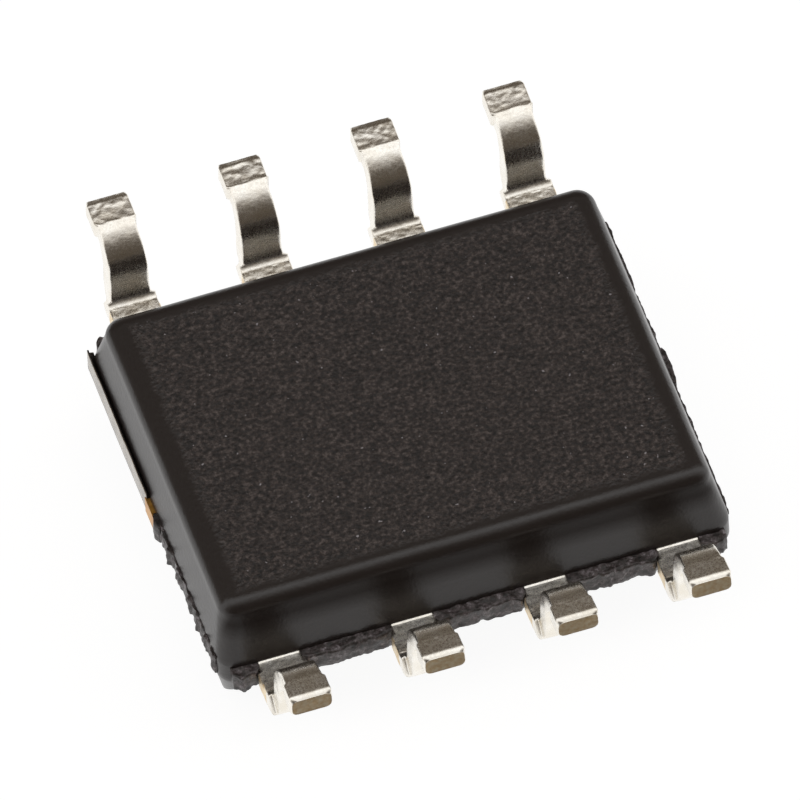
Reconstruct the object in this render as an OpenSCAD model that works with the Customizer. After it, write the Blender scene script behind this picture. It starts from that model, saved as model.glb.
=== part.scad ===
// Eight-lead small-outline package (SOIC, 3.9 mm body, 1.27 mm pitch).
// It lies on its marked face, with the seats of its gull-wing feet upwards.
// Origin: centre of the marked face. X runs along the rows of leads.

/* [Moulded body] */
// Length of the body at the parting line, along the rows
body_len = 4.9; // [4.7:0.05:5.3]
// Width of the body at the parting line, across the rows
body_wid = 3.9; // [3.75:0.05:4.1]
// Height of the marked half of the mould, up to the lead frame
marked_h = 0.65; // [0.58:0.01:0.8]
// Height of the seating half of the mould, from the lead frame
seating_h = 0.65; // [0.5:0.01:0.8]
// Draft of the long walls, in degrees
draft_side = 13; // [5:1:15]
// Draft of the end walls, in degrees
draft_end = 9; // [5:1:15]
// Radius of the upright corners
corner_r = 0.18; // [0.16:0.01:0.3]
// Radius of the rim round each flat face
rim_r = 0.15; // [0.05:0.01:0.15]
// Height of the straight land at the parting line
land_h = 0.02; // [0.01:0.01:0.05]
// Leg of the 45 degree bevel along the edge of leads 1 to 4
bevel = 0.36; // [0.25:0.01:0.45]
// Diameter of the round dimple at lead 1
dimple_d = 0.5; // [0.3:0.05:0.8]
// Depth of the round dimple at lead 1
dimple_depth = 0.04; // [0.02:0.01:0.1]
// Distance from the dimple's centre to the two walls at lead 1
dimple_inset = 0.85; // [0.8:0.05:1.1]

/* [Resin flash] */
// Width of the resin strips that fill the gaps between the leads
strip_width = 0.11; // [0.05:0.01:0.14]
// Length of the resin strips that run on past the end leads
end_strip_len = 0.25; // [0.15:0.01:0.28]
// Height of the ragged edge on the resin strips
ragged_height = 0.03; // [0.01:0.005:0.035]
// Thickness of the flake of resin that stands at one end wall
flake_thickness = 0.03; // [0.02:0.01:0.05]
// Height of that flake above the lead frame
flake_height = 0.07; // [0.04:0.01:0.1]
// Thickness of the thin fins at the other end wall
fin_thickness = 0.04; // [0.02:0.01:0.08]
// Width of the thin fins
fin_width = 0.02; // [0.015:0.005:0.05]
// Height of the ragged edge on the thin fins
fin_ragged_height = 0.01; // [0.005:0.005:0.015]

/* [Leads] */
// Distance between neighbouring leads
pitch = 1.27; // [1.2:0.01:1.3]
// Thickness of the lead frame
lead_t = 0.2; // [0.15:0.01:0.25]
// Distance over the tips of both rows
lead_span = 6; // [5.9:0.05:6.4]
// Gap between the seating face of the body and the plane of the feet
seat_gap = 0.1; // [0.05:0.01:0.25]
// Width of a foot
foot_w = 0.39; // [0.35:0.01:0.5]
// Width of the heel where it meets the pad
heel_w = 0.34; // [0.3:0.01:0.35]
// Width of a lead where it leaves the body
exit_w = 0.41; // [0.36:0.01:0.42]
// Width over the two cut ends of the dam bar
stub_w = 0.47; // [0.44:0.01:0.5]
// Width of the riser
riser_w = 0.38; // [0.36:0.01:0.4]
// Length of the flat pad of a foot
pad_len = 0.2; // [0.15:0.01:0.35]
// Outer radius of the bend at the heel
heel_r = 0.4; // [0.3:0.01:0.42]
// Inner radius of the bend at the shoulder
shoulder_r = 0.1; // [0.05:0.01:0.12]
// Distance from the body wall to the cut end of the dam bar
stub_gap = 0.14; // [0.06:0.01:0.16]
// Length of the cut end of the dam bar
stub_len = 0.24; // [0.18:0.01:0.24]
// Radius of the neck between the dam bar and the riser
neck_r = 0.04; // [0.02:0.01:0.045]
// Length of the rolled-over edge of a tip, on the seat side
roll_len = 0.06; // [0.03:0.01:0.1]
// Height of the rolled-over edge of a tip
roll_height = 0.02; // [0.01:0.01:0.05]

/* [Lead frame inside the body] */
// Length of the die paddle
paddle_len = 2.5; // [2.3:0.05:2.6]
// Width of the die paddle
paddle_wid = 1.9; // [1.7:0.05:2]
// Offset of the paddle from the plane of the leads, towards the feet
paddle_drop = 0.12; // [0.05:0.01:0.2]
// Width of the tie bars that held the paddle in its strip
tie_w = 0.36; // [0.2:0.02:0.5]
// Reach of the cut tie bars beyond the end walls
tie_reach = 0.04; // [0.01:0.01:0.05]
// Gap between the paddle and the fingers of the middle leads
finger_gap = 0.15; // [0.1:0.01:0.2]
// Width of the bonding pad on a middle finger
finger_w = 0.56; // [0.4:0.02:0.7]
// Length of the bonding pad on a middle finger
finger_len = 0.4; // [0.25:0.01:0.45]
// Distance from the middle of the package to a corner finger's end
corner_end = 0.5; // [0.45:0.05:0.6]
// Length of the bonding pad on a corner finger
corner_len = 0.65; // [0.5:0.05:0.7]
// Reach of a corner finger's pad towards the middle
corner_reach = 0.25; // [0.1:0.01:0.28]
// Diameter of the hole that locks a corner finger in the resin
lock_d = 0.18; // [0.12:0.01:0.2]

/* [Die and bond wires] */
// Length of the silicon die
die_len = 1.6; // [1.2:0.05:2.1]
// Width of the silicon die
die_wid = 1.3; // [1:0.05:1.6]
// Thickness of the silicon die
die_t = 0.25; // [0.15:0.01:0.28]
// Thickness of the die-attach adhesive
attach_t = 0.03; // [0.02:0.005:0.04]
// Margin of adhesive round the die
attach_margin = 0.05; // [0.02:0.01:0.1]
// Diameter of a bond wire
wire_d = 0.03; // [0.02:0.005:0.05]
// Diameter of the ball bond on the die
ball_d = 0.07; // [0.055:0.005:0.09]
// Height that a wire's loop aims for
loop_h = 0.25; // [0.18:0.01:0.28]
// Distance from the edge of the die to its bonding pads
bond_inset = 0.12; // [0.08:0.01:0.2]

/* [Hidden] */

leads = 8;
row_leads = leads / 2;
$fn = 48;
hull_fn = 32;            // facets of the circles inside a hull
fillet_step = 18;        // degrees from one point of a rim's profile to the next
skin = 0.01;             // how far one solid runs into another that it joins or cuts

frame_z = marked_h;                       // side of the lead frame towards the marking
frame_top = frame_z + lead_t;             // side of the lead frame towards the feet
seating_z = frame_top + seating_h;        // seating face of the body
seat_z = seating_z + seat_gap;            // plane of the feet
wall_y = body_wid / 2;
wall_x = body_len / 2;
tip_y = lead_span / 2;
heel_y = tip_y - pad_len;                 // where a foot's pad meets the heel
riser_y = heel_y - heel_r;                // side of the riser towards the body
stub_y = wall_y + stub_gap;
neck_y = stub_y + stub_len;
paddle_z = frame_z + paddle_drop;         // side of the paddle that carries the die
finger_y = paddle_wid / 2 + finger_gap;
attach_z = paddle_z - attach_t;
die_z = attach_z - die_t;                 // active face of the die

wire_rings = 10;
wire_sides = 8;
stitch_d = 1.4 * wire_d;                  // flattened end of a wire on its finger

// Leads are numbered from the one beside the dimple, round the body
function lead_x(i) = pitch * (i <= row_leads
    ? (row_leads + 1) / 2 - i
    : i - (3 * row_leads + 1) / 2);
function lead_side(i) = i <= row_leads ? -1 : 1;
function at_corner(i) = abs(lead_x(i)) > pitch * (row_leads - 2) / 2;

// A small, repeatable unevenness between -1 and 1
function uneven(k) = (sin(137 * k) + sin(59 * k + 40)) / 2;

// ---- moulded body ----

// One upright corner of a mould half: a drafted wall's end and its rounded rim
module rim_corner() {
    rotate_extrude($fn = hull_fn)
        polygon(concat(
            [[0, 0]],
            [for (a = [0 : fillet_step : 90])
                [corner_r - rim_r + rim_r * cos(a), rim_r * sin(a)]],
            [[0, rim_r]]));
}

// One half of the body, from a straight band at the parting line up to a flat face
module mould_half(height, band) {
    inset_x = height * tan(draft_end);
    inset_y = height * tan(draft_side);
    hull()
        for (sx = [-1, 1], sy = [-1, 1]) {
            translate([sx * (wall_x - corner_r), sy * (wall_y - corner_r), 0])
                cylinder(h = band, r = corner_r, $fn = hull_fn);
            translate([sx * (wall_x - corner_r - inset_x), sy * (wall_y - corner_r - inset_y),
                    band + height - rim_r])
                rim_corner();
        }
}

// A flat strip of resin along X, rooted in the body, whose outer edge is ragged
module ragged_strip(length, width, thick, ragged, seed) {
    steps = 8;
    linear_extrude(thick)
        polygon(concat(
            [[0, -corner_r], [length, -corner_r]],
            [for (k = [steps : -1 : 0])
                [length * k / steps, width + ragged * uneven(k + seed)]]));
}

// Resin that filled the lead frame up to the dam bar, between the leads and past the end ones
module gap_strips() {
    gap = pitch - exit_w;
    row_end = lead_x(1) + exit_w / 2;
    for (row = [0, 1])
        rotate([0, 0, 180 * row])
            translate([0, wall_y, frame_z]) {
                for (k = [1 : row_leads - 1])
                    translate([lead_x(k + 1) + exit_w / 2, 0, 0])
                        ragged_strip(gap, strip_width, lead_t, ragged_height, seed = 5 * k + 3 * row);
                for (s = [-1, 1])
                    translate([s > 0 ? row_end : -row_end - end_strip_len, 0, 0])
                        ragged_strip(end_strip_len, strip_width, lead_t, ragged_height, seed = 20 + s);
            }
}

// A thin flake of resin that stands upright along one end wall, past the parting line
module end_flake() {
    translate([-wall_x - flake_thickness, tie_w / 2, frame_z])
        cube([flake_thickness + skin, wall_y - tie_w / 2, lead_t + flake_height]);
}

// Thin fins where resin crept between the mould halves at the other end wall
module end_fins() {
    fin_len = wall_y - tie_w / 2 - corner_r;
    for (s = [-1, 1])
        translate([wall_x, s > 0 ? wall_y - corner_r : -tie_w / 2, frame_top - fin_thickness])
            rotate([0, 0, -90])
                ragged_strip(fin_len, fin_width, fin_thickness, fin_ragged_height, seed = 30 + s);
}

module bevel_cut() {
    reach = wall_y - marked_h * tan(draft_side);
    edge = bevel + skin;
    translate([0, -reach, 0])
        rotate([90, 0, 90])
            translate([0, 0, -wall_x])
                linear_extrude(2 * wall_x)
                    polygon([[-edge, -edge], [bevel + edge, -edge], [-edge, bevel + edge]]);
}

module dimple_cut() {
    translate([wall_x - dimple_inset, dimple_inset - wall_y, -skin])
        cylinder(h = dimple_depth + skin, d = dimple_d);
}

module mould_body() {
    color("#37312f")
        difference() {
            union() {
                translate([0, 0, frame_top])
                    rotate([180, 0, 0])
                        mould_half(marked_h, lead_t);
                translate([0, 0, frame_top])
                    mould_half(seating_h - land_h, land_h);
                gap_strips();
                end_flake();
                end_fins();
            }
            bevel_cut();
            dimple_cut();
            for (i = [1 : leads])
                lead(i);
            die_paddle();
            die_attach();
            die();
            for (i = [1 : leads])
                bond_wire(i);
        }
}

// ---- leads ----

// A quarter of a bent strip, in the quadrant that (qy, qz) points to
module bend(inner_r, qy, qz) {
    outer_r = inner_r + lead_t;
    intersection() {
        difference() {
            circle(outer_r);
            circle(inner_r);
        }
        translate([qy > 0 ? 0 : -outer_r, qz > 0 ? 0 : -outer_r])
            square(outer_r);
    }
}

// Side of a lead in Y and Z, from its inner end to its tip
module lead_profile(inner_y) {
    shoulder_y = riser_y - shoulder_r;
    shoulder_z = frame_top + shoulder_r;
    heel_z = seat_z - heel_r;
    translate([inner_y, frame_z])
        square([shoulder_y - inner_y, lead_t]);
    translate([shoulder_y, shoulder_z])
        bend(shoulder_r, 1, -1);
    translate([riser_y, shoulder_z])
        square([lead_t, heel_z - shoulder_z]);
    translate([heel_y, heel_z])
        bend(heel_r - lead_t, -1, 1);
    polygon([
        [heel_y, seat_z - lead_t], [tip_y, seat_z - lead_t], [tip_y, seat_z - roll_height],
        [tip_y - roll_len, seat_z], [heel_y, seat_z]]);
}

// Plan of a lead outside the body: dam-bar ends, riser, narrow heel and foot
module lead_plan_outside() {
    translate([-exit_w / 2, wall_y - skin])
        square([exit_w, stub_gap + 2 * skin]);
    translate([-stub_w / 2, stub_y])
        square([stub_w, stub_len]);
    difference() {
        translate([-riser_w / 2 - neck_r, neck_y])
            square([riser_w + 2 * neck_r, neck_r]);
        for (s = [-1, 1])
            translate([s * (riser_w / 2 + neck_r), neck_y + neck_r])
                circle(neck_r);
    }
    polygon([
        [-riser_w / 2, neck_y], [riser_w / 2, neck_y],
        [riser_w / 2, riser_y + lead_t], [heel_w / 2, heel_y],
        [foot_w / 2, heel_y], [foot_w / 2, tip_y], [-foot_w / 2, tip_y], [-foot_w / 2, heel_y],
        [-heel_w / 2, heel_y], [-riser_w / 2, riser_y + lead_t]]);
}

// Plan of a middle finger, with its bonding pad next to the paddle
module middle_finger_plan() {
    translate([-finger_w / 2, finger_y])
        square([finger_w, finger_len]);
    translate([-exit_w / 2, finger_y])
        square([exit_w, wall_y - finger_y]);
}

// Plan of a corner finger, whose pad leans towards the middle (lean is -1 or 1)
module corner_finger_plan(lean) {
    pad_w = exit_w + corner_reach;
    difference() {
        union() {
            translate([lean * corner_reach / 2 - pad_w / 2, corner_end])
                square([pad_w, corner_len]);
            translate([-exit_w / 2, corner_end])
                square([exit_w, wall_y - corner_end]);
        }
        translate([0, (corner_end + corner_len + wall_y) / 2])
            circle(d = lock_d);
    }
}

module lead(i) {
    lean = -sign(lead_x(i)) * lead_side(i);
    inner_y = at_corner(i) ? corner_end : finger_y;
    color("#c9c5bb")
        translate([lead_x(i), 0, 0])
            rotate([0, 0, lead_side(i) > 0 ? 0 : 180])
                intersection() {
                    translate([0, 0, frame_z - skin])
                        linear_extrude(seat_z - frame_z + 2 * skin) {
                            lead_plan_outside();
                            if (at_corner(i))
                                corner_finger_plan(lean);
                            else
                                middle_finger_plan();
                        }
                    rotate([90, 0, 90])
                        translate([0, 0, -pitch / 2])
                            linear_extrude(pitch)
                                lead_profile(inner_y);
                }
}

// ---- die and what carries it ----

// The paddle with its two tie bars, which step down to the plane of the leads
module die_paddle() {
    end_x = wall_x + tie_reach;
    bend_x = paddle_len / 2 + 2 * paddle_drop;
    color("#b9803f") {
        translate([-paddle_len / 2, -paddle_wid / 2, paddle_z])
            cube([paddle_len, paddle_wid, lead_t]);
        for (s = [0, 1])
            rotate([0, 0, 180 * s])
                translate([0, tie_w / 2, 0])
                    rotate([90, 0, 0])
                        linear_extrude(tie_w)
                            polygon([
                                [paddle_len / 2 - lead_t, paddle_z], [paddle_len / 2, paddle_z],
                                [bend_x, frame_z], [end_x, frame_z], [end_x, frame_top],
                                [bend_x, frame_top], [paddle_len / 2, paddle_z + lead_t],
                                [paddle_len / 2 - lead_t, paddle_z + lead_t]]);
    }
}

module die_attach() {
    size_x = die_len + 2 * attach_margin;
    size_y = die_wid + 2 * attach_margin;
    color("#8d8a86")
        translate([-size_x / 2, -size_y / 2, attach_z])
            cube([size_x, size_y, attach_t]);
}

module die() {
    color("#56606b")
        translate([-die_len / 2, -die_wid / 2, die_z])
            cube([die_len, die_wid, die_t]);
}

// ---- bond wires ----

function unit(v) = v / norm(v);
function bezier(p, t) =
    pow(1 - t, 3) * p[0] + 3 * pow(1 - t, 2) * t * p[1]
    + 3 * (1 - t) * t * t * p[2] + pow(t, 3) * p[3];
function bezier_direction(p, t) = unit(
    pow(1 - t, 2) * (p[1] - p[0]) + 2 * (1 - t) * t * (p[2] - p[1]) + t * t * (p[3] - p[2]));
function ring_radius(k) =
    k < 2 ? ball_d / 2 : k == wire_rings ? stitch_d / 2 : wire_d / 2;

// A round wire along a Bezier curve in an upright plane, with flat level ends
module looped_wire(p) {
    across = unit(cross([0, 0, 1], p[3] - p[0]));
    points = [for (k = [0 : wire_rings])
        let (
            t = k == 1 ? 0.4 / wire_rings : k / wire_rings,
            centre = bezier(p, t),
            up = cross(bezier_direction(p, t), across))
        for (j = [0 : wire_sides - 1])
            let (a = 360 * (j + 0.5) / wire_sides)
            centre + ring_radius(k) * (cos(a) * across + sin(a) * up)];
    last = wire_rings * wire_sides;
    polyhedron(points, concat(
        [[for (j = [0 : wire_sides - 1]) j]],
        [[for (j = [wire_sides - 1 : -1 : 0]) last + j]],
        [for (k = [0 : wire_rings - 1], j = [0 : wire_sides - 1])
            let (a = k * wire_sides + j, b = k * wire_sides + (j + 1) % wire_sides)
            [a, a + wire_sides, b + wire_sides, b]]), convexity = 4);
}

// Where a wire starts on the die and where it ends on its finger
function ball_point(i) =
    at_corner(i)
    ? [sign(lead_x(i)) * (die_len / 2 - bond_inset), lead_side(i) * die_wid / 4, die_z]
    : [lead_x(i) / 2, lead_side(i) * (die_wid / 2 - bond_inset), die_z];
function stitch_point(i) =
    at_corner(i)
    ? [lead_x(i) - sign(lead_x(i)) * corner_reach / 2,
        lead_side(i) * (corner_end + corner_len / 2), frame_z]
    : [lead_x(i), lead_side(i) * (finger_y + finger_len / 2), frame_z];

module bond_wire(i) {
    a = ball_point(i);
    b = stitch_point(i);
    color("#e0b64a")
        looped_wire([a, a - [0, 0, loop_h], b - [0, 0, loop_h], b]);
}

mould_body();
lead(1);  // lead_1
lead(2);  // lead_2
lead(3);  // lead_3
lead(4);  // lead_4
lead(5);  // lead_5
lead(6);  // lead_6
lead(7);  // lead_7
lead(8);  // lead_8
die_paddle();
die_attach();
die();
bond_wire(1);  // bond_wire_1
bond_wire(2);  // bond_wire_2
bond_wire(3);  // bond_wire_3
bond_wire(4);  // bond_wire_4
bond_wire(5);  // bond_wire_5
bond_wire(6);  // bond_wire_6
bond_wire(7);  // bond_wire_7
bond_wire(8);  // bond_wire_8
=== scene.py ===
# %% [markdown]
# # A small-outline chip on its back
# The real object is a black moulded chip about five millimetres long, with four bent leads on
# each side. It lies on its marked face, so its feet point up.
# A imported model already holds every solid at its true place. Blender's work is the finish:
# finer bends, ragged resin, tin, cut copper, and the studio around them.

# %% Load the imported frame
import math

import bmesh
import bpy
from mathutils import Matrix, Vector, noise


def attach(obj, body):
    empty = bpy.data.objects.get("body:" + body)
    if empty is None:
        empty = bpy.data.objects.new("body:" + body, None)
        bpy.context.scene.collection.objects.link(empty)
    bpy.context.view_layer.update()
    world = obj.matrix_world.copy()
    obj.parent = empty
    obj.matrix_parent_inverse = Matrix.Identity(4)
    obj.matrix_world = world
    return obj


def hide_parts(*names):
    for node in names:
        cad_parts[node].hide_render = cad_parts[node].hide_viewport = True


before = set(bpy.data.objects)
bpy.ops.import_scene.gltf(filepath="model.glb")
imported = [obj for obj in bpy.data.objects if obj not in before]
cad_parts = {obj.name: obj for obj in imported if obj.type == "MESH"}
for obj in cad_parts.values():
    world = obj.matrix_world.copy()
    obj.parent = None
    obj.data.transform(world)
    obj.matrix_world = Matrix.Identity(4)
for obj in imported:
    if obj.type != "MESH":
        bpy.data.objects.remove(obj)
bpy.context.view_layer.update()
MM = 0.001
print("nodes in the frame:", len(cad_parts))

# %% [markdown]
# ## The camera
# The chip is seen from above its leads 1 to 4, from far away through a long lens, so that its
# edges stay almost parallel. The camera is placed by its azimuth and elevation round an aim
# point, and it leans a few degrees.

# %% Place the camera
AIM = Vector((-0.0955, -0.0556, 1.5393)) * MM
AZIMUTH = math.radians(-15.556)
ELEVATION = math.radians(52.495)
LEAN = math.radians(-3.344)
DISTANCE = 339.22 * MM
FOCAL_LENGTH = 1680.1

back = Vector((
    math.sin(AZIMUTH) * math.cos(ELEVATION),
    -math.cos(AZIMUTH) * math.cos(ELEVATION),
    math.sin(ELEVATION),
))
level = Vector((0, 0, 1)).cross(back).normalized()
right = math.cos(LEAN) * level + math.sin(LEAN) * back.cross(level)
up = back.cross(right)
turn = Matrix((right, up, back)).transposed().to_4x4()

lens = bpy.data.cameras.new("long_lens")
lens.lens = FOCAL_LENGTH
lens.sensor_width = 36
lens.clip_start = 0.01
lens.clip_end = 20
camera = bpy.data.objects.new("camera", lens)
camera.matrix_world = Matrix.Translation(AIM + back * DISTANCE) @ turn
bpy.context.scene.collection.objects.link(camera)
bpy.context.scene.camera = camera
bpy.context.scene.view_settings.view_transform = "Standard"
print("camera at", [round(v / MM, 1) for v in camera.location], "mm")

# %% [markdown]
# ## Colours and nodes
# Colours are written as sRGB hex, the way a picker shows them, and one function turns them into
# the linear values that shaders mix. One more function adds a node with its settings and links.

# %% Colour and node helpers
def linear(hex_colour):
    """The linear colour of an sRGB hex value such as "#c0ffee"."""
    channels = [int(hex_colour[k:k + 2], 16) / 255 for k in (1, 3, 5)]
    light = [c / 12.92 if c <= 0.04045 else ((c + 0.055) / 1.055) ** 2.4 for c in channels]
    return (*light, 1.0)


def add_node(tree, kind, settings=None, links=None):
    """A new node. Settings name its properties or inputs, links name inputs to join."""
    made = tree.nodes.new("ShaderNode" + kind)
    for name, value in (settings or {}).items():
        if isinstance(name, str) and hasattr(made, name):
            setattr(made, name, value)
        else:
            made.inputs[name].default_value = value
    for name, output in (links or {}).items():
        tree.links.new(output, made.inputs[name])
    return made


# A Mix node keeps one pair of inputs for each kind of data: these are its colours
MIX_A = 6
MIX_B = 7
MIX_COLOUR = 2


def set_ramp(ramp, stops):
    """Gives a Color Ramp its stops, as pairs of a position and a colour."""
    elements = ramp.color_ramp.elements
    while len(elements) > 1:
        elements.remove(elements[-1])
    for k, (position, colour) in enumerate(stops):
        stop = elements[0] if k == 0 else elements.new(position)
        stop.position = position
        stop.color = colour


print("mid grey is", round(linear("#808080")[0], 3))

# %% [markdown]
# ## The studio
# Small bright parts are shot in a light tent. A soft lamp above it is brightest overhead and
# fades towards the camera, and the far side of the tent is dark, which is what draws the dark
# bands on the plated leads. A white sweep lies under the chip and rises a little all round.
# A world shader can stand for such a tent: its colour depends on the direction alone.

# %% Light tent
TENT = (
    # sine of the angle from overhead, towards the far side, brightness and warmth there
    (-1.0, 0.07, 1.0), (-0.866, 0.08, 1.0), (-0.743, 0.085, 0.9), (-0.6, 0.10, 0.8),
    (-0.5, 0.18, 0.6), (-0.39, 0.36, 0.4), (-0.225, 0.66, 0.2), (0.0, 1.08, 0.0),
    (0.12, 1.30, 0.0), (0.24, 1.30, 0.0), (0.36, 0.66, 0.2), (0.46, 0.25, 0.8),
    (0.56, 0.10, 1.0), (0.9, 0.08, 1.0), (1.0, 0.25, 0.6),
)
TENT_PEAK = 1.3
WARM_TINT = (1.0, 0.82, 0.64)
world = bpy.data.worlds.new("light_tent")
world.use_nodes = True
bpy.context.scene.world = world
tent = world.node_tree
tent.nodes.clear()
way = add_node(tent, "TexCoord")
axes = add_node(tent, "SeparateXYZ", links={"Vector": way.outputs["Generated"]})
across_tent = add_node(
    tent, "MapRange", {"From Min": -1.0, "From Max": 1.0}, {"Value": axes.outputs["Y"]})
fade = add_node(tent, "ValToRGB", links={"Fac": across_tent.outputs["Result"]})
set_ramp(fade, [
    ((sine + 1) / 2,
     tuple(light / TENT_PEAK * (1 - warmth * (1 - tint)) for tint in WARM_TINT) + (1.0,))
    for sine, light, warmth in TENT])
sky = add_node(
    tent, "Background", {"Strength": TENT_PEAK}, {"Color": fade.outputs["Color"]})
# beyond the sweep's rim the camera sees plain white
white = add_node(tent, "Background", {"Color": linear("#ffffff"), "Strength": 1.0})
tent_ray = add_node(tent, "LightPath")
backdrop = add_node(
    tent, "MixShader",
    links={0: tent_ray.outputs["Is Camera Ray"], 1: sky.outputs[0], 2: white.outputs[0]})
add_node(tent, "OutputWorld", links={"Surface": backdrop.outputs[0]})
print("tent with", len(TENT), "stops")

# %% White sweep
SWEEP = ((0.3, -0.002), (0.5, -0.002), (0.6, 0.004), (0.7, 0.012), (0.8, 0.025), (0.85, 0.035))
SWEEP_SIDES = 96


def white_sweep():
    """The floor: a wide disc whose rim curves up. Radii and heights are in metres."""
    bm = bmesh.new()
    rings = []
    for radius, height in SWEEP:
        z = height if height > 0 else height * MM
        rings.append([
            bm.verts.new((
                radius * math.cos(math.tau * k / SWEEP_SIDES),
                radius * math.sin(math.tau * k / SWEEP_SIDES),
                z))
            for k in range(SWEEP_SIDES)])
    bm.faces.new(rings[0])
    for inner, outer in zip(rings, rings[1:]):
        for k in range(SWEEP_SIDES):
            n = (k + 1) % SWEEP_SIDES
            bm.faces.new((inner[k], outer[k], outer[n], inner[n]))
    mesh = bpy.data.meshes.new("white_sweep")
    bm.to_mesh(mesh)
    bm.free()
    for face in mesh.polygons:
        face.use_smooth = True
    floor = bpy.data.objects.new("white_sweep", mesh)
    bpy.context.scene.collection.objects.link(floor)
    return floor


floor = white_sweep()
paper = bpy.data.materials.new("matte_white_paper")
paper.use_nodes = True
tree = paper.node_tree
tree.nodes.clear()
ray = add_node(tree, "LightPath")
seen = add_node(
    tree, "Math", {"operation": "MAXIMUM"},
    {0: ray.outputs["Is Camera Ray"], 1: ray.outputs["Is Glossy Ray"]})
seen_too = add_node(
    tree, "Math", {"operation": "MAXIMUM"},
    {0: seen.outputs[0], 1: ray.outputs["Is Transmission Ray"]})
matte = add_node(tree, "BsdfDiffuse", {"Color": linear("#e6e5e3")})
soft = add_node(tree, "BsdfDiffuse", {"Color": linear("#707070")})
# mirrored in the chip, the paper is lit near it and dark further out towards the camera
spot = add_node(tree, "NewGeometry")
spot_axes = add_node(tree, "SeparateXYZ", links={"Vector": spot.outputs["Position"]})
pool = add_node(
    tree, "MapRange",
    {"From Min": -15 * MM, "From Max": -7 * MM, "To Min": 0.10, "To Max": 1.0},
    {"Value": spot_axes.outputs["Y"]})
level_seen = add_node(
    tree, "Math", {"operation": "MAXIMUM"},
    {0: ray.outputs["Is Camera Ray"], 1: pool.outputs["Result"]})
glow = add_node(
    tree, "Emission", {"Color": linear("#f7f7f7")}, {"Strength": level_seen.outputs[0]})
shown = add_node(tree, "AddShader", links={0: soft.outputs[0], 1: glow.outputs[0]})
either = add_node(
    tree, "MixShader", links={0: seen_too.outputs[0], 1: matte.outputs[0], 2: shown.outputs[0]})
add_node(tree, "OutputMaterial", links={"Surface": either.outputs[0]})
floor.data.materials.append(paper)
print("sweep of radius", SWEEP[-1][0], "m")

# %% [markdown]
# ## Mesh helpers
# Every piece here is a loft: closed rings of points, one after another, joined by quads.

# %% Loft and piece helpers
def loft(bm, rings, closed_ends=True):
    """Joins rings of vertices with quads, and closes both ends with a face."""
    for first, second in zip(rings, rings[1:]):
        for k in range(len(first)):
            n = (k + 1) % len(first)
            bm.faces.new((first[k], first[n], second[n], second[k]))
    if closed_ends:
        bm.faces.new(rings[0][::-1])
        bm.faces.new(rings[-1])


def ragged(point, grain):
    """Signed noise, in about -1 to 1, at a point in millimetres."""
    return noise.noise(point / grain)


def make_piece(name, bm, materials):
    """Turns a bmesh in millimetres into an object in metres that rides on the frame."""
    bmesh.ops.recalc_face_normals(bm, faces=bm.faces)
    bmesh.ops.scale(bm, vec=(MM, MM, MM), verts=bm.verts)
    mesh = bpy.data.meshes.new(name)
    bm.to_mesh(mesh)
    bm.free()
    for material in materials:
        mesh.materials.append(material)
    for face in mesh.polygons:
        face.use_smooth = True
    piece = bpy.data.objects.new(name, mesh)
    bpy.context.scene.collection.objects.link(piece)
    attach(piece, "root")
    return piece


print("helpers ready")

# %% [markdown]
# ## Moulded epoxy
# The body is transfer-moulded epoxy filled with silica and carbon black. Its seating face was
# moulded against a spark-eroded steel wall, which leaves a fine matte grain. A narrow border
# and the drafted walls came off smoother steel and shine a little, so they mirror the sweep.

# %% Material of the body
RIM_X = 2.27
RIM_Y = 1.725
FACE_Z = 1.5
# height on the wall in millimetres, and how much of the wall's reflection is cut there: a painted
# dark reflection
PAINTED_DARK_REFLECTION_BAND = ((1.12, 0.0), (1.28, 1.0), (1.40, 1.0), (1.44, 0.0))


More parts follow.
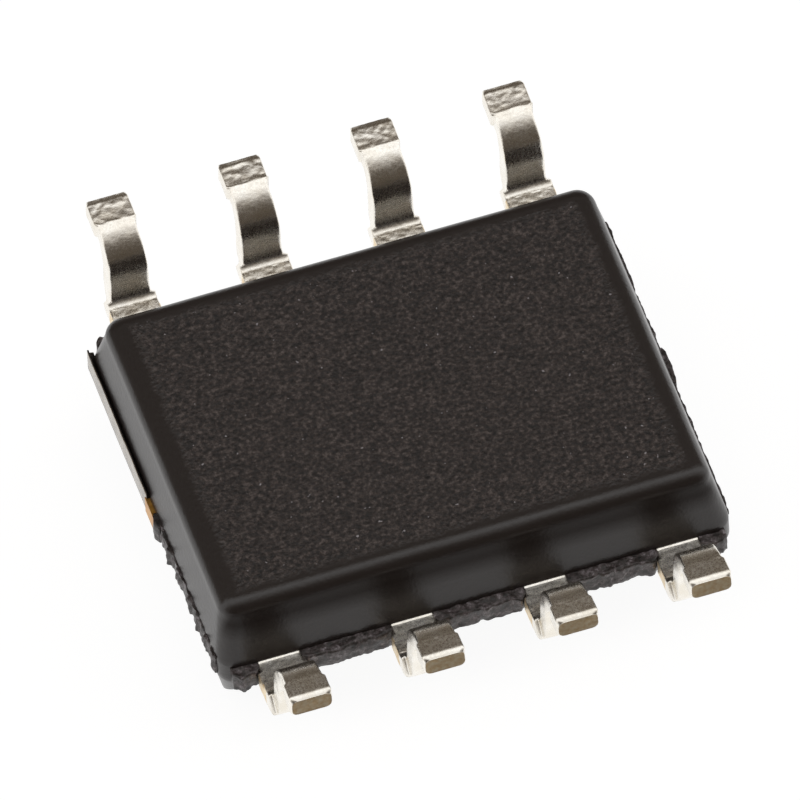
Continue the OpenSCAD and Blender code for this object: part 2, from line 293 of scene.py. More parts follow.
def moulded_epoxy():
    """Black filled epoxy: eroded grain on the faces, smoother border and walls."""
    material = bpy.data.materials.new("moulded_black_epoxy")
    material.use_nodes = True
    tree = material.node_tree
    shader = tree.nodes["Principled BSDF"]
    place = add_node(tree, "TexCoord")
    axes = add_node(tree, "SeparateXYZ", links={"Vector": place.outputs["Object"]})
    # how far inside the rim of the seating face a point lies, in metres
    edges = []
    for axis, half in (("X", RIM_X), ("Y", RIM_Y)):
        side = add_node(tree, "Math", {"operation": "ABSOLUTE"}, {0: axes.outputs[axis]})
        edges.append(add_node(
            tree, "Math", {"operation": "SUBTRACT", 0: half * MM}, {1: side.outputs[0]}))
    inside = add_node(
        tree, "Math", {"operation": "MINIMUM"}, {0: edges[0].outputs[0], 1: edges[1].outputs[0]})
    drift = add_node(
        tree, "TexNoise", {"Scale": 1 / (0.12 * MM), "Detail": 2.0},
        {"Vector": place.outputs["Object"]})
    wavy = add_node(
        tree, "Math", {"operation": "MULTIPLY_ADD", 1: 0.10 * MM},
        {0: drift.outputs[0], 2: inside.outputs[0]})
    field = add_node(
        tree, "MapRange", {"From Min": 0.15 * MM, "From Max": 0.26 * MM},
        {"Value": wavy.outputs[0]})
    # both flat faces: near the top, or near the bottom
    middle = add_node(
        tree, "Math", {"operation": "SUBTRACT", 1: FACE_Z / 2 * MM}, {0: axes.outputs["Z"]})
    height = add_node(tree, "Math", {"operation": "ABSOLUTE"}, {0: middle.outputs[0]})
    flat = add_node(
        tree, "Math", {"operation": "GREATER_THAN", 1: (FACE_Z / 2 - 0.01) * MM},
        {0: height.outputs[0]})
    eroded = add_node(
        tree, "Math", {"operation": "MULTIPLY"}, {0: field.outputs[0], 1: flat.outputs[0]})
    # spark craters are 0.02 to 0.05 mm across
    craters = add_node(
        tree, "TexVoronoi", {"Scale": 1 / (0.034 * MM)}, {"Vector": place.outputs["Object"]})
    grain = add_node(
        tree, "TexNoise", {"Scale": 1 / (0.040 * MM), "Detail": 3.0, "Roughness": 0.6},
        {"Vector": place.outputs["Object"]})
    relief = add_node(
        tree, "Math", {"operation": "MULTIPLY_ADD", 1: 0.5},
        {0: craters.outputs["Distance"], 2: grain.outputs[0]})
    strength = add_node(
        tree, "MapRange", {"To Min": 0.10, "To Max": 1.0}, {"Value": eroded.outputs[0]})
    bump = add_node(
        tree, "Bump", {"Distance": 0.018 * MM},
        {"Height": relief.outputs[0], "Strength": strength.outputs[0]})
    # carbon black with paler flecks of silica
    patch = add_node(
        tree, "TexNoise", {"Scale": 1 / (0.042 * MM), "Detail": 3.0, "Roughness": 0.65},
        {"Vector": place.outputs["Object"]})
    tone = add_node(tree, "ValToRGB", links={"Fac": patch.outputs[0]})
    set_ramp(tone, [
        (0.32, linear("#120e0d")), (0.45, linear("#2a2321")), (0.56, linear("#413835")),
        (0.70, linear("#655b57"))])
    # a few loose grains of pale filler lie open on the skin
    loose = add_node(
        tree, "TexNoise", {"Scale": 1 / (0.045 * MM), "Detail": 1.0},
        {"Vector": place.outputs["Object"]})
    fleck = add_node(
        tree, "MapRange", {"From Min": 0.765, "From Max": 0.80}, {"Value": loose.outputs[0]})
    flecked = add_node(
        tree, "Mix", {"data_type": "RGBA", MIX_B: linear("#a7a2a6")},
        {0: fleck.outputs["Result"], MIX_A: tone.outputs["Color"]})
    smooth_tone = add_node(
        tree, "Mix", {"data_type": "RGBA", MIX_A: linear("#2d2725")},
        {0: eroded.outputs[0], MIX_B: flecked.outputs[MIX_COLOUR]})
    shine = add_node(
        tree, "MapRange", {"To Min": 0.30, "To Max": 0.62}, {"Value": eroded.outputs[0]})
    # painted dark reflection: the wall's reflection is cut in a band along the top of the wall over
    # leads 1 to 4
    level_z = add_node(
        tree, "MapRange", {"From Max": FACE_Z * MM}, {"Value": axes.outputs["Z"]})
    band = add_node(tree, "ValToRGB", links={"Fac": level_z.outputs["Result"]})
    set_ramp(band, [(z / FACE_Z, (dull, dull, dull, 1.0)) for z, dull in PAINTED_DARK_REFLECTION_BAND])
    near_wall = add_node(
        tree, "MapRange", {"From Min": -1.72 * MM, "From Max": -1.78 * MM},
        {"Value": axes.outputs["Y"]})
    painted_dark_reflection = add_node(
        tree, "Math", {"operation": "MULTIPLY"},
        {0: band.outputs["Color"], 1: near_wall.outputs["Result"]})
    gloss = add_node(
        tree, "MapRange", {"To Min": 0.5, "To Max": 0.14}, {"Value": painted_dark_reflection.outputs[0]})
    tree.links.new(gloss.outputs["Result"], shader.inputs["Specular IOR Level"])
    shader.inputs["IOR"].default_value = 1.55
    tree.links.new(smooth_tone.outputs[MIX_COLOUR], shader.inputs["Base Color"])
    tree.links.new(shine.outputs["Result"], shader.inputs["Roughness"])
    tree.links.new(bump.outputs["Normal"], shader.inputs["Normal"])
    return material


epoxy = moulded_epoxy()
print("made", epoxy.name)

# %% [markdown]
# Where the two mould halves meet, thin resin creeps out between the leads and at the ends. It is
# the same epoxy with less filler and a torn skin, so it looks paler, greyer and uneven.

# %% Material of the flash
def resin_flash():
    """Torn epoxy flash: mottled purple-grey over brown-black."""
    material = bpy.data.materials.new("torn_epoxy_flash")
    material.use_nodes = True
    tree = material.node_tree
    shader = tree.nodes["Principled BSDF"]
    place = add_node(tree, "TexCoord")
    patch = add_node(
        tree, "TexNoise", {"Scale": 1 / (0.07 * MM), "Detail": 5.0, "Roughness": 0.7},
        {"Vector": place.outputs["Object"]})
    tone = add_node(tree, "ValToRGB", links={"Fac": patch.outputs[0]})
    set_ramp(tone, [
        (0.36, linear("#1f1a18")), (0.48, linear("#38302e")), (0.58, linear("#5c5354")),
        (0.70, linear("#a39ca1"))])
    lumps = add_node(
        tree, "TexNoise", {"Scale": 1 / (0.03 * MM), "Detail": 4.0},
        {"Vector": place.outputs["Object"]})
    bump = add_node(
        tree, "Bump", {"Distance": 0.012 * MM, "Strength": 0.8}, {"Height": lumps.outputs[0]})
    shader.inputs["IOR"].default_value = 1.55
    shader.inputs["Roughness"].default_value = 0.42
    tree.links.new(tone.outputs["Color"], shader.inputs["Base Color"])
    tree.links.new(bump.outputs["Normal"], shader.inputs["Normal"])
    return material


flash = resin_flash()
print("made", flash.name)

# %% [markdown]
# The upright flake was cast against polished steel. Its skin is smooth, so it mirrors the sweep
# when it is seen almost edge on. Its outer face is also coloured pale tan: a painted
# reflection of the white sweep on the black resin.

# %% Material of the flake
def pale_reflection_skin():
    """Smooth cast skin of the epoxy, with a faint waviness, coloured pale tan as a painted
    reflection.
    """
    material = bpy.data.materials.new("epoxy_skin_painted_reflection")
    material.use_nodes = True
    tree = material.node_tree
    shader = tree.nodes["Principled BSDF"]
    place = add_node(tree, "TexCoord")
    cloud = add_node(
        tree, "TexNoise", {"Scale": 1 / (0.09 * MM), "Detail": 4.0, "Roughness": 0.6},
        {"Vector": place.outputs["Object"]})
    tone = add_node(tree, "ValToRGB", links={"Fac": cloud.outputs[0]})
    # pale tan on black epoxy: a painted reflection of the white sweep
    set_ramp(tone, [(0.35, linear("#8d7f6c")), (0.7, linear("#d2c4ae"))])
    bump = add_node(
        tree, "Bump", {"Distance": 0.003 * MM, "Strength": 0.6}, {"Height": cloud.outputs[0]})
    shader.inputs["IOR"].default_value = 1.55
    shader.inputs["Roughness"].default_value = 0.16
    tree.links.new(tone.outputs["Color"], shader.inputs["Base Color"])
    tree.links.new(bump.outputs["Normal"], shader.inputs["Normal"])
    return material


flake_painted_reflection = pale_reflection_skin()
print("made", flake_painted_reflection.name)

# %% [markdown]
# ## The moulded body
# The shell is a loft of rounded rectangles from the marked face up to the seating face: a rim,
# a drafted wall, the straight band at the lead frame, the other wall and the other rim. One
# sloping cut then makes the bevel along leads 1 to 4. Lofting keeps every edge where the
# drafts put it, and leaves enough points to let the walls waver as moulded resin does.

# %% Loops of the body
WALL_X = 2.45
WALL_Y = 1.95
CORNER_R = 0.18
RIM_R = 0.15
FRAME_Z = 0.65
FRAME_TOP = 0.85
LAND_TOP = 0.87
DRAFT_X = math.tan(math.radians(9))
DRAFT_Y = math.tan(math.radians(13))
SEAT_SHIFT_X = -0.022
CORNER_STEPS = 10
STEPS_X = 90
STEPS_Y = 70
RIM_STEPS = 8


def body_loop(inset_x, inset_y, radius, z):
    """Points round a rectangle with round corners; every loop has as many."""
    half_x = WALL_X - inset_x
    half_y = WALL_Y - inset_y
    corners = []
    for k, (sx, sy) in enumerate(((1, 1), (-1, 1), (-1, -1), (1, -1))):
        centre = Vector((sx * (half_x - radius), sy * (half_y - radius), z))
        corners.append([
            centre + radius * Vector((math.cos(a), math.sin(a), 0))
            for a in (math.radians(90 * (k + s / CORNER_STEPS)) for s in range(CORNER_STEPS + 1))])
    points = []
    for k, corner in enumerate(corners):
        points += corner
        following = corners[(k + 1) % 4][0]
        steps = STEPS_Y if k % 2 else STEPS_X
        points += [corner[-1].lerp(following, s / steps) for s in range(1, steps)]
    return points


def rim_levels(inset_x, inset_y):
    """Insets, radius and height above the rim's foot, from the wall over to the flat face."""
    levels = []
    for k in range(RIM_STEPS + 1):
        a = math.radians(90 * k / RIM_STEPS)
        inwards = RIM_R * (1 - math.cos(a))
        levels.append((
            inset_x + inwards, inset_y + inwards, CORNER_R - inwards, RIM_R * math.sin(a)))
    for extra in (0.01, 0.05):
        inwards = RIM_R + extra
        levels.append((inset_x + inwards, inset_y + inwards, CORNER_R - RIM_R - extra / 2, RIM_R))
    return levels


def body_levels():
    """Every loop of the shell, from the marked face up to the seating face."""
    low = (FRAME_Z * DRAFT_X, FRAME_Z * DRAFT_Y)
    rise = FACE_Z - LAND_TOP
    high = (rise * DRAFT_X, rise * DRAFT_Y)
    levels = [(x, y, r, RIM_R - z) for x, y, r, z in reversed(rim_levels(*low))]
    for k in range(1, 11):
        t = k / 10
        levels.append((low[0] * (1 - t), low[1] * (1 - t), CORNER_R, RIM_R + (FRAME_Z - RIM_R) * t))
    for z in (0.70, 0.75, 0.80, FRAME_TOP, LAND_TOP):
        levels.append((0, 0, CORNER_R, z))
    for k in range(1, 10):
        t = k / 10
        levels.append((high[0] * t, high[1] * t, CORNER_R, LAND_TOP + (rise - RIM_R) * t))
    levels += [(x, y, r, FACE_Z - RIM_R + z) for x, y, r, z in rim_levels(*high)]
    return levels


print("body of", len(body_levels()), "loops with", len(body_loop(0, 0, CORNER_R, 0)), "points")

# %% Build the body
BEVEL = 0.36
DIMPLE_AT = (1.6, -1.1)
DIMPLE_RINGS = ((0.25, 0.0), (0.247, 0.03), (0.238, 0.038), (0.22, 0.04))
DIMPLE_SIDES = 48


def add_dimple(bm):
    """Opens the marked face round the dimple and sinks the dimple into the resin."""
    marked = min(bm.faces, key=lambda face: (face.calc_center_median().z, -face.calc_area()))
    rim = list(marked.edges)
    bmesh.ops.delete(bm, geom=[marked], context="FACES_ONLY")
    rings = []
    for radius, z in DIMPLE_RINGS:
        rings.append([
            bm.verts.new((
                DIMPLE_AT[0] + radius * math.cos(math.tau * k / DIMPLE_SIDES),
                DIMPLE_AT[1] + radius * math.sin(math.tau * k / DIMPLE_SIDES),
                z))
            for k in range(DIMPLE_SIDES)])
    loft(bm, rings, closed_ends=False)
    bm.faces.new(rings[-1])
    mouth = [edge for edge in bm.edges if edge.verts[0] in rings[0] and edge.verts[1] in rings[0]]
    bmesh.ops.triangle_fill(bm, use_beauty=True, use_dissolve=False, edges=rim + mouth)


def build_body():
    """The shell of the moulded body, in millimetres."""
    bm = bmesh.new()
    rings = [[bm.verts.new(p) for p in body_loop(*level)] for level in body_levels()]
    loft(bm, rings)
    foot = Vector((0, -(WALL_Y - FRAME_Z * DRAFT_Y) + BEVEL, 0))
    cut = bmesh.ops.bisect_plane(
        bm, geom=bm.verts[:] + bm.edges[:] + bm.faces[:], plane_co=foot,
        plane_no=(0, -1, -1), clear_outer=True)
    edges = [item for item in cut["geom_cut"] if isinstance(item, bmesh.types.BMEdge)]
    bmesh.ops.edgenet_fill(bm, edges=edges)
    add_dimple(bm)
    for vert in bm.verts:
        vert.co.x += SEAT_SHIFT_X * max(0.0, vert.co.z - LAND_TOP) / (FACE_Z - LAND_TOP)
        on_wall = 0.02 < vert.co.z < FACE_Z - 0.02
        if on_wall:
            vert.co.x += 0.004 * ragged(vert.co, 0.6)
            vert.co.y += 0.004 * ragged(vert.co + Vector((9, 0, 0)), 0.6)
    return bm


body = make_piece("mould_shell", build_body(), [epoxy])
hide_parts("mould_body")
print(body.name, len(body.data.polygons), "faces")

# %% [markdown]
# ## Resin flash
# Between the leads the resin filled the lead frame up to the dam bar, and broke off ragged when
# the bar was cut. Each strip is a loft along the row whose outline and skin are pushed about by
# noise, which gives the torn edge real depth in the mesh.

# %% Flash strips between the leads
PITCH = 1.27
EXIT_W = 0.41
STRIP_WIDTH = 0.11
END_STRIP = 0.25
STRIP_STEP = 0.018
BAR_ROOT = -0.03


def bar_ring(reach, low, high, root):
    """A closed ring round a flat bar in the plane across its length: (outwards, height)."""
    outer = [(reach, low + (high - low) * k / 7) for k in range(8)]
    top = [(root + (reach - root) * k / 5, high) for k in range(4, 0, -1)]
    bottom = [(root + (reach - root) * k / 5, low) for k in range(1, 5)]
    return outer + top + [(root, high), (root, low)] + bottom


def flash_bar(bm, length, reach, low, high, seed, tear, lump):
    """A torn bar of resin along +X, from 0 to length. Outwards is +Y, and its root is inside."""
    rings = []
    count = max(2, round(length / STRIP_STEP))
    for k in range(count + 1):
        x = length * k / count
        ends = min(1, x / 0.05, (length - x) / 0.05)
        edge = reach
        edge += tear * ragged(Vector((x, seed, 0)), 0.14)
        edge += tear * ragged(Vector((x, seed, 5)), 0.05)
        ring = []
        for out, height in bar_ring(max(0.008, edge * (0.6 + 0.4 * ends)), low, high, BAR_ROOT):
            point = Vector((x, out, height))
            if out > -0.02:
                shift = Vector((x, out + seed, height))
                point.y += lump * ragged(shift, 0.09)
                point.z += lump * ragged(shift + Vector((0, 0, 7)), 0.08)
            ring.append(bm.verts.new(point))
        rings.append(ring)
    loft(bm, rings)


def place_bar(bm, start, angle):
    """Turns a bar about the upright axis and moves its start into place."""
    move = Matrix.Translation(start) @ Matrix.Rotation(math.radians(angle), 4, "Z")
    bmesh.ops.transform(bm, matrix=move, verts=bm.verts)


ROW_END = 1.5 * PITCH + EXIT_W / 2
GAP = PITCH - EXIT_W
STRIPS = [(PITCH * (k - 1.5) + EXIT_W / 2, GAP) for k in range(3)]
STRIPS += [(ROW_END, END_STRIP), (-ROW_END - END_STRIP, END_STRIP)]
for row, sign in enumerate((1, -1)):
    for k, (start, length) in enumerate(STRIPS):
        bm = bmesh.new()
        flash_bar(bm, length, STRIP_WIDTH, FRAME_Z, FRAME_TOP, 5 * k + 31 * row + 5, 0.03, 0.02)
        place_bar(bm, Vector((sign * start, sign * WALL_Y, 0)), 180 * row)
        make_piece(f"gap_flash_{len(STRIPS) * row + k + 1}", bm, [flash])
print(2 * len(STRIPS), "strips of flash along the leads")

# %% Fins and crumbs at the end walls
TIE_W = 0.36
FINS = (
    # name, start, angle, length, width, low, high, tear, lump
    ("end_fin_1", (WALL_X, 1.77, 0), -90, 1.59, 0.020, 0.81, 0.85, 0.012, 0.006),
    ("end_fin_2", (WALL_X, -TIE_W / 2, 0), -90, 1.59, 0.020, 0.81, 0.85, 0.012, 0.006),
    ("end_crumbs", (-WALL_X, -1.80, 0), 90, 1.62, 0.016, 0.66, 0.88, 0.030, 0.022),
    ("tie_lump_1", (-WALL_X, -0.21, 0), 90, 0.18, 0.050, 0.64, 0.86, 0.010, 0.010),
    ("tie_lump_2", (WALL_X, 0.21, 0), -90, 0.42, 0.048, 0.64, 0.86, 0.006, 0.006),
)
for seed, (name, start, angle, length, reach, low, high, tear, lump) in enumerate(FINS):
    bm = bmesh.new()
    flash_bar(bm, length, reach, low, high, 3.3 * seed + 11, tear, lump)
    place_bar(bm, Vector(start), angle)
    make_piece(name, bm, [flash])
print("made", len(FINS), "pieces of flash at the ends")

# %% [markdown]
# At the end beside leads 4 and 5 the resin ran up the parting line and stands there as a thin
# upright flake, a little away from the drafted wall, so it keeps light off the foot of the wall.

# %% Standing flake
FLAKE_OUT = 0.030
FLAKE_T = 0.015
FLAKE_TOP = 0.92
FLAKE_FROM = TIE_W / 2 - 0.02
FLAKE_TO = WALL_Y - 0.04
FLAKE_STEPS = 90


def build_flake():
    """A plate of resin along Y, rooted in the parting band."""
    bm = bmesh.new()
    outer, inner = WALL_X + FLAKE_OUT, WALL_X + FLAKE_OUT - FLAKE_T
    rings = []
    for k in range(FLAKE_STEPS + 1):
        y = FLAKE_FROM + (FLAKE_TO - FLAKE_FROM) * k / FLAKE_STEPS
        crest = FLAKE_TOP
        crest += 0.010 * ragged(Vector((y, 3, 0)), 0.5)
        crest += 0.005 * ragged(Vector((y, 9, 0)), 0.07)
        outline = [(outer, FRAME_Z + (crest - FRAME_Z) * j / 8) for j in range(9)]
        outline += [(inner, crest), (inner, LAND_TOP + 0.01), (WALL_X - 0.03, LAND_TOP - 0.004)]
        outline += [(WALL_X - 0.03, FRAME_Z + 0.004), (inner, FRAME_Z)]
        rings.append([
            bm.verts.new((-x - 0.004 * ragged(Vector((y, z, 1)), 0.3), y, z)) for x, z in outline])
    loft(bm, rings)
    bm.normal_update()
    for face in bm.faces:
        # the outer face takes the pale painted reflection, the other faces the black epoxy
        away = abs(face.normal.x) > 0.7 and face.calc_center_median().x < -(inner + outer) / 2
        face.material_index = 0 if away else 1
    return bm


flake = make_piece("standing_flake", build_flake(), [flake_painted_reflection, epoxy])
print(flake.name, len(flake.data.polygons), "faces")

# %% [markdown]
# ## Tin on copper
# The leads are stamped from copper alloy strip, 0.2 mm thick, and plated with matte tin before
# they are trimmed and bent. So the tin covers all but the cut ends. Bending tools burnish the
# bends a little, and a test socket has scarred the pads.

# %% Material of the plating
def tin_plate(name, tint, roughness, relief, grain):
    """Tin plate. Relief is the depth of its scars and grain their size, in millimetres."""
    material = bpy.data.materials.new(name)
    material.use_nodes = True
    tree = material.node_tree
    shader = tree.nodes["Principled BSDF"]
    place = add_node(tree, "TexCoord")
    scars = add_node(
        tree, "TexNoise", {"Scale": 1 / (grain * MM), "Detail": 3.0, "Roughness": 0.55},
        {"Vector": place.outputs["Object"]})
    bump = add_node(
        tree, "Bump", {"Distance": relief * MM, "Strength": 1.0}, {"Height": scars.outputs[0]})
    # plated grains of 5 to 10 micrometres, drawn as coarse as they show
    crystals = add_node(
        tree, "TexNoise", {"Scale": 1 / (0.02 * MM), "Detail": 2.0},
        {"Vector": place.outputs["Object"]})
    shine = add_node(
        tree, "MapRange",
        {"From Min": 0.3, "From Max": 0.7, "To Min": roughness * 0.8, "To Max": roughness * 1.3},
        {"Value": crystals.outputs[0]})
    patch = add_node(
        tree, "TexNoise", {"Scale": 1 / (0.15 * MM), "Detail": 3.0},
        {"Vector": place.outputs["Object"]})
    tone = add_node(tree, "ValToRGB", links={"Fac": patch.outputs[0]})
    set_ramp(tone, [(0.35, linear(tint[0])), (0.65, linear(tint[1]))])
    shader.inputs["Metallic"].default_value = 1.0
    tree.links.new(tone.outputs["Color"], shader.inputs["Base Color"])
    tree.links.new(shine.outputs["Result"], shader.inputs["Roughness"])
    tree.links.new(bump.outputs["Normal"], shader.inputs["Normal"])
    return material


burnished_tin = tin_plate("burnished_tin_plate", ("#f4eee3", "#fbf7ef"), 0.27, 0.0035, 0.06)
scarred_tin = tin_plate("scarred_tin_plate", ("#efe8db", "#fbf7ef"), 0.26, 0.0040, 0.06)
even_tin = tin_plate("even_tin_plate", ("#f2ece0", "#fbf7ef"), 0.28, 0.0012, 0.09)
print("made", burnished_tin.name, "and", scarred_tin.name, "and", even_tin.name)

# %% Material of the cut copper
def cut_copper():
    """Copper alloy where a punch sheared it: dull gold, faintly streaked."""
    material = bpy.data.materials.new("sheared_copper_alloy")
    material.use_nodes = True
    tree = material.node_tree
    shader = tree.nodes["Principled BSDF"]
    place = add_node(tree, "TexCoord")
    streak = add_node(
        tree, "TexNoise", {"Scale": 1 / (0.05 * MM), "Detail": 4.0},
        {"Vector": place.outputs["Object"]})
    tone = add_node(tree, "ValToRGB", links={"Fac": streak.outputs[0]})
    set_ramp(tone, [(0.35, linear("#ecd2a8")), (0.65, linear("#fdf0d6"))])
    bump = add_node(
        tree, "Bump", {"Distance": 0.003 * MM, "Strength": 1.0}, {"Height": streak.outputs[0]})
    shader.inputs["Metallic"].default_value = 1.0
    shader.inputs["Roughness"].default_value = 0.45
    tree.links.new(tone.outputs["Color"], shader.inputs["Base Color"])
    tree.links.new(bump.outputs["Normal"], shader.inputs["Normal"])
    return material


copper = cut_copper()
print("made", copper.name)

# %% [markdown]
# ## The leads
# A lead is one strip: a finger in the resin, a shoulder, a riser, a heel and a foot. The middle
# line is a chain of straight and round runs, and a rounded section is swept along it with its
# own width at each point. Sweeping keeps the strip's thickness true round both bends.

# %% Middle line of a lead
LEAD_T = 0.2
SHOULDER_Y = 2.30
SHOULDER_R = 0.2
HEEL_R = 0.3
TIP_Y = 3.0
SEAT_Z = 1.6
MID_Z = FRAME_Z + LEAD_T / 2


def lead_runs(inner_y, tip_y, tilt, sink):
    """Lengths and turns of the runs. Tilt lifts the tip, in radians, and sink lowers the foot."""
    bend = SHOULDER_R * math.pi / 2
    heel_turn = math.pi / 2 - tilt
    across = HEEL_R * (1 - math.sin(tilt))
    rise = HEEL_R * math.cos(tilt)
    pad = (tip_y - SHOULDER_Y - SHOULDER_R - across) / math.cos(tilt)
    top = SEAT_Z - sink - LEAD_T / 2 * math.cos(tilt)
    riser = top - pad * math.sin(tilt) - rise - (MID_Z + SHOULDER_R)
    return [
        (SHOULDER_Y - inner_y, 0.0), (bend, math.pi / 2), (riser, 0.0),
        (HEEL_R * heel_turn, -heel_turn), (pad, 0.0)]


def point_on(runs, inner_y, s):
    """Place (outwards, height) and heading on the middle line, s from its inner end."""
    y = inner_y
    z = MID_Z
    heading = 0.0
    for length, turning in runs:
        step = min(s, length)
        if turning:
            radius = length / turning
            after = heading + step / radius
            y += radius * (math.sin(after) - math.sin(heading))
            z += radius * (math.cos(heading) - math.cos(after))
            heading = after
        else:
            y += step * math.cos(heading)
            z += step * math.sin(heading)
        s -= step
        if s <= 0:
            break
    return y, z, heading


straight = lead_runs(1.10, TIP_Y, 0.0, 0.0)
print("a middle lead is", round(sum(length for length, _ in straight), 2), "mm long, unrolled")

# %% Width and section of a lead
STUB_W = 0.47
RISER_W = 0.39
HEEL_W = 0.35
FOOT_W = 0.40
NECK_R = 0.04
STUB_FROM = 0.13
STUB_TO = 0.50
ROLL_LEN = 0.06
ROLL_HEIGHT = 0.02
EDGE_R = 0.022
TIP_EDGE_R = 0.055
SIDE_STEPS = 6
FLAT_STEPS = 22


def between(stops, s):
    """A value along a list of (position, value) stops."""
    if s <= stops[0][0]:
        return stops[0][1]
    for (s0, v0), (s1, v1) in zip(stops, stops[1:]):
        if s <= s1:
            return v0 + (v1 - v0) * (s - s0) / (s1 - s0)
    return stops[-1][1]


def half_widths(inner_y, runs, finger):
    """Stops of the half-width on one side. Finger lists the stops inside the resin."""
    wall = WALL_Y - inner_y
    heel = sum(length for length, _ in runs[:3])
    pad = heel + runs[3][0]
    end = pad + runs[4][0]
    neck = [
        (wall + STUB_TO + NECK_R * k / 5,
         RISER_W / 2 + NECK_R - math.sqrt(NECK_R ** 2 - (NECK_R * (1 - k / 5)) ** 2))
        for k in range(6)]
    return finger + [
        (wall + STUB_FROM - 0.02, EXIT_W / 2), (wall + STUB_FROM, STUB_W / 2),
        (wall + STUB_TO - 0.005, STUB_W / 2)
    ] + neck + [
        (heel + 0.1, RISER_W / 2 - 0.008), (pad - 0.1, HEEL_W / 2),
        (pad - 0.01, HEEL_W / 2 + 0.004), (pad + 0.008, FOOT_W / 2),
        (end - 0.04, FOOT_W / 2), (end, FOOT_W / 2 - 0.012)]


def section(left, right, top, bottom, edge):
    """A rounded rectangle: points (across, up), always as many."""
    points = []
    corners = (
        (right - edge, top - edge, 0), (left + edge, top - edge, 1),
        (left + edge, bottom + edge, 2), (right - edge, bottom + edge, 3))
    arcs = [
        [(x + edge * math.cos(a), y + edge * math.sin(a))
         for a in (math.radians(90 * k + 30 * j) for j in range(4))]
        for x, y, k in corners]
    for k, arc in enumerate(arcs):
        points += arc
        far = arcs[(k + 1) % 4][0]
        steps = FLAT_STEPS if k % 2 == 0 else SIDE_STEPS
        for j in range(1, steps):
            t = j / steps
            points.append((arc[-1][0] * (1 - t) + far[0] * t, arc[-1][1] * (1 - t) + far[1] * t))
    return points


print("section of", len(section(-0.2, 0.2, 0.1, -0.1, EDGE_R)), "points")

# %% Sweep one lead
SMOOTH, SCARRED, CUT = 0, 1, 2
SHOULDER_CLIMB = 0.018
RIDGE = 0.004
SCARRED_TO = 0.36


def stations(runs, wall):
    """Positions along the middle line, closer together where the shape changes."""
    end = sum(length for length, _ in runs)
    pad = end - runs[4][0]
    places = [0.0]
    s = 0.0
    while s < end - 0.001:
        if s < wall - 0.05:
            step = 0.02
        elif s < wall + STUB_TO + 0.08:
            step = 0.01
        elif s > pad - 0.03:
            step = 0.0085
        else:
            step = 0.018
        s += step
        places.append(min(s, end))
    return places


def finger_stops(at_corner, lean, side):
    """Half-widths of the finger inside the resin, on the side -1 or 1."""
    if at_corner:
        pad = EXIT_W / 2 + (0.25 if lean == side else 0.0)
        return [(0.0, pad), (0.64, pad), (0.66, EXIT_W / 2)]
    return [(0.0, 0.28), (0.39, 0.28), (0.41, EXIT_W / 2)]


def ease(value, start, stop):
    """0 before start, 1 after stop, and a straight line between."""
    return min(1.0, max(0.0, (value - start) / (stop - start)))


def sweep_lead(number, at_corner, lean, form):
    """One lead in its own place: X across, Y outwards from the body, Z towards the seat."""
    tilt, sink, longer, far = form
    inner_y = 0.5 if at_corner else 1.10
    runs = lead_runs(inner_y, TIP_Y + longer, math.radians(tilt), sink)
    wall = WALL_Y - inner_y
    end = sum(length for length, _ in runs)
    pad = end - runs[4][0]
    bend_end = runs[0][0] + runs[1][0]
    widths = [half_widths(inner_y, runs, finger_stops(at_corner, lean, side)) for side in (-1, 1)]
    bm = bmesh.new()
    rings = []
    places = stations(runs, wall)
    for s in places:
        y, z, heading = point_on(runs, inner_y, s)
        # a shoulder climbs a little before it bends, because the strip springs back
        climb = SHOULDER_CLIMB * ease(s, wall + 0.05, wall + 0.35)
        z += climb * (1 - ease(s, bend_end, bend_end + runs[2][0]))
        left, right = -between(widths[0], s), between(widths[1], s)
        top, bottom = LEAD_T / 2, -LEAD_T / 2
        top -= ROLL_HEIGHT * ease(s, end - ROLL_LEN, end) ** 1.5
        near_tip = ease(s, end - 0.03, end)
        edge = EDGE_R if far else EDGE_R + (TIP_EDGE_R - EDGE_R) * near_tip ** 2
        # the ridge where the pad was pressed, and the lip of tin against the resin
        if far:
            top += RIDGE * ease(s, pad - 0.02, pad) * (1 - ease(s, pad, pad + 0.05))
        if wall < s < wall + 0.016:
            top += 0.006
        # a spur that the socket pushed off the pad's edge
        if pad - 0.03 < s < pad + 0.008:
            right += 0.008 if far else 0.0
        rise = Vector((0, -math.sin(heading), math.cos(heading)))
        outside = s > wall + 0.02
        if s > pad:
            rough, size = (0.0040, 0.055) if far else (0.0010, 0.10)
        elif s < wall + SCARRED_TO:
            rough, size = (0.0035, 0.05) if far else (0.0020, 0.05)
        else:
            rough, size = 0.0022, 0.13
        ring = []
        for across, height in section(left, right, top, bottom, edge):
            point = Vector((across, y, z)) + rise * height
            if outside:
                where = point + Vector((number * 3.1, 0, 0))
                point += rise * rough * ragged(where, size) * (1 if height > 0 else -1)
                point.x += 0.004 * ragged(where, 0.12)
            ring.append(bm.verts.new(point))
        rings.append(ring)
    loft(bm, rings)
    return bm, places, wall, pad, end


bm, places, wall, pad, end = sweep_lead(2, False, 1, (4.0, 0.0, 0.0, False))
print("a lead has", len(places), "sections and", len(bm.faces), "faces")
bm.free()

# %% Finish and place the leads
def paint_lead(bm, places, wall, pad, end):
    """Gives each face its finish by where it lies along the strip."""
    bm.faces.ensure_lookup_table()
    around = len(bm.verts) // len(places)
    for k, face in enumerate(bm.faces):
        s = places[min(k // around, len(places) - 1)]
        if s > pad or s < wall + SCARRED_TO:
            face.material_index = SCARRED
        centre = face.calc_center_median()
        along = wall + STUB_FROM - 0.01 < s < wall + SCARRED_TO
        cut_end = along and abs(centre.x) > STUB_W / 2 - 0.006
        if cut_end and FRAME_Z < centre.z < FRAME_TOP + 0.01:
            face.material_index = CUT


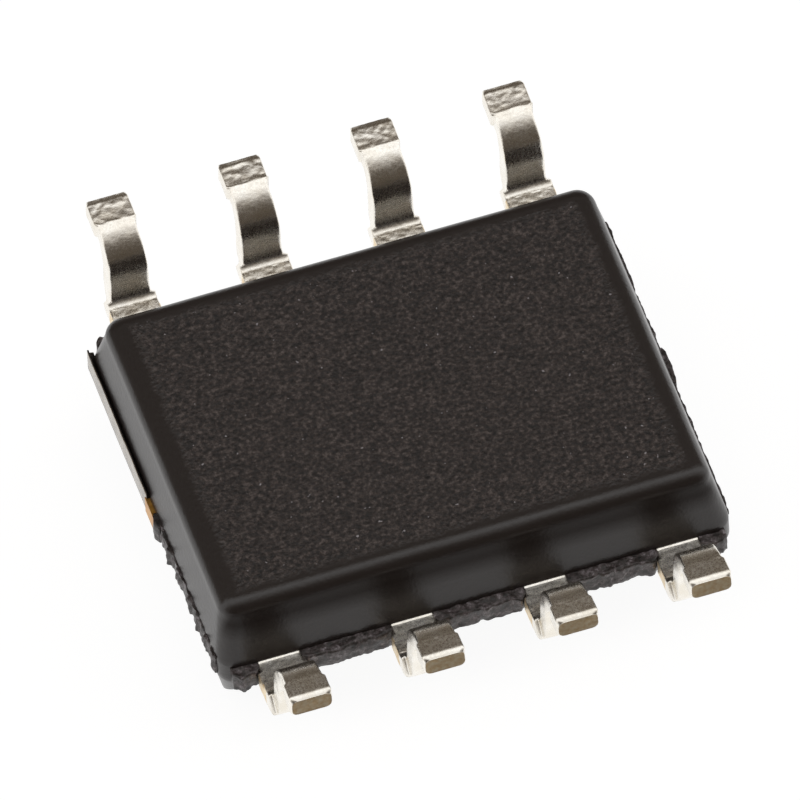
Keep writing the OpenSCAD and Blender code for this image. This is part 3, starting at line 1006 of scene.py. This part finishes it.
def cap_tip(bm):
    """Splits the sheared tip into a tin border and a bare copper middle."""
    many_sided = [face for face in bm.faces if len(face.verts) > 4]
    tip = max(many_sided, key=lambda face: face.calc_center_median().y)
    made = bmesh.ops.inset_region(bm, faces=[tip], thickness=0.008, depth=0.0)
    tip.material_index = CUT
    for face in made["faces"]:
        face.material_index = SMOOTH


FORMS = (
    # tilt of the pad, sink of the foot, extra length, whether it is on the far row
    (4.0, 0.000, 0.0, False), (3.0, 0.004, 0.0, False), (4.6, 0.000, 0.0, False),
    (3.4, 0.050, 0.0, False), (5.6, 0.000, 0.05, True), (4.8, 0.003, 0.05, True),
    (5.2, 0.000, 0.05, True), (6.0, 0.000, 0.05, True),
)
for number, form in enumerate(FORMS, start=1):
    far = form[3]
    side = 1 if far else -1
    lead_x = PITCH * (number - 6.5 if far else 2.5 - number)
    at_corner = abs(lead_x) > PITCH
    lean = -math.copysign(1, lead_x) * side
    bm, places, wall, pad, end = sweep_lead(number, at_corner, lean, form)
    paint_lead(bm, places, wall, pad, end)
    cap_tip(bm)
    place_bar(bm, Vector((lead_x, 0, 0)), 0 if far else 180)
    finishes = [burnished_tin, scarred_tin, copper] if far else [even_tin, even_tin, copper]
    lead = make_piece(f"plated_lead_{number}", bm, finishes)
    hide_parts(f"lead_{number}")
print("eight leads,", len(lead.data.polygons), "faces in the last")

# %% [markdown]
# ## Inside the resin
# The paddle, die, adhesive and gold wires are hidden, apart from the cut ends of the tie bars
# that show at the end walls. Their solids are right as they are and only need their finishes.

# %% Finishes of the inner parts
def inner_finish(name, low, high, metallic, roughness, grain):
    """A finish that wavers between two colours over a grain in millimetres."""
    material = bpy.data.materials.new(name)
    material.use_nodes = True
    tree = material.node_tree
    shader = tree.nodes["Principled BSDF"]
    place = add_node(tree, "TexCoord")
    patch = add_node(
        tree, "TexNoise", {"Scale": 1 / (grain * MM), "Detail": 3.0},
        {"Vector": place.outputs["Object"]})
    tone = add_node(tree, "ValToRGB", links={"Fac": patch.outputs[0]})
    set_ramp(tone, [(0.35, linear(low)), (0.65, linear(high))])
    bump = add_node(
        tree, "Bump", {"Distance": 0.002 * MM, "Strength": 1.0}, {"Height": patch.outputs[0]})
    shader.inputs["Metallic"].default_value = metallic
    shader.inputs["Roughness"].default_value = roughness
    tree.links.new(tone.outputs["Color"], shader.inputs["Base Color"])
    tree.links.new(bump.outputs["Normal"], shader.inputs["Normal"])
    return material


INNER = {
    "die_paddle": inner_finish("bare_copper_alloy", "#b9823a", "#dba755", 1.0, 0.35, 0.08),
    "die_attach": inner_finish("silver_filled_adhesive", "#8f8b86", "#a9a6a1", 0.6, 0.5, 0.05),
    "die": inner_finish("polished_silicon", "#4c535c", "#5d6570", 0.4, 0.12, 0.2),
}
gold = inner_finish("drawn_gold_wire", "#e3b750", "#f0c766", 1.0, 0.2, 0.03)
INNER.update({f"bond_wire_{k}": gold for k in range(1, 9)})
for name, finish in INNER.items():
    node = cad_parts[name]
    node.data.materials.clear()
    node.data.materials.append(finish)
print("finished", len(INNER), "inner parts")
